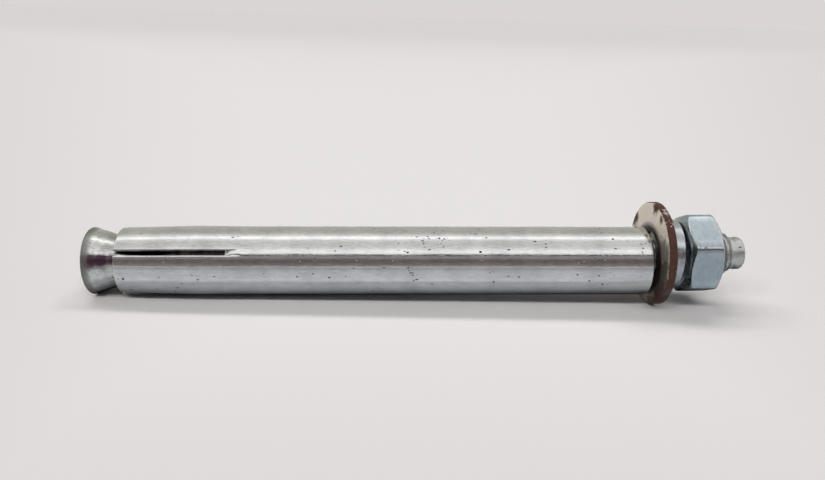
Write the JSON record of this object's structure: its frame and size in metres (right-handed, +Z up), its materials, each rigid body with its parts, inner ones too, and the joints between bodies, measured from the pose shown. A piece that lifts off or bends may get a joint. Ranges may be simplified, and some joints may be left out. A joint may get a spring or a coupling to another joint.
{
  "type": "sleeve anchor bolt",
  "caption": "Sleeve anchor bolt: cone-headed stud in a slotted steel sleeve, with a flat washer, a spring washer and a hex nut.",
  "frame": {"origin": "middle of the outline's base, on the floor that the anchor lies on", "axes": "+X along the anchor, from the cone head to the nut; +Z up; the front that the picture shows faces -Y. The bolt's axis rises by 1.8 degrees to the nut, because it leans on the head's rim and on the flat washer's rim"},
  "size_m": [0.1484, 0.0236, 0.0236],
  "materials": {
    "zinc_stud": "bright zinc plating on cold-formed steel",
    "zinc_sleeve": "bright zinc plating on drawn steel tube, with pits",
    "rusty_washer": "dull zinc plating on punched steel, rusted at the rim",
    "zinc_spring": "bright zinc plating on wound spring steel",
    "zinc_nut": "satin blue-white zinc plating on a cold-formed nut"
  },
  "bodies": {
    "bolt": {"cone_bolt": "zinc_stud"},
    "sleeve": {"expansion_sleeve": "zinc_sleeve"},
    "spring_washer": {"spring_washer": "zinc_spring"},
    "flat_washer": {"flat_washer": "rusty_washer"},
    "nut": {"hex_nut": "zinc_nut"}
  },
  "joints": [
    {"name": "sleeve_slide", "type": "slide", "parent": "bolt", "child": "sleeve", "axis": [0.9995, 0, 0.0316], "range_m": [-0.002, 0.0009]},
    {"name": "washers_slide", "type": "slide", "parent": "bolt", "child": "spring_washer", "axis": [0.9995, 0, 0.0316], "range_m": [0, 0.00751]},
    {"name": "flat_washer_spin", "type": "hinge", "parent": "spring_washer", "child": "flat_washer", "pos_m": [0.05371, 0.00003, 0.01182], "axis": [0.9991, 0.0297, 0.0316], "continuous": true},
    {"name": "nut_turn", "type": "hinge", "parent": "spring_washer", "child": "nut", "pos_m": [0.06337, 0, 0.01186], "axis": [0.9995, 0, 0.0316], "range_deg": [0, 1800]}
  ],
  "couplings": [
    {"joint": "washers_slide", "follows": "nut_turn", "m_per_rad": 0.00023873}
  ]
}
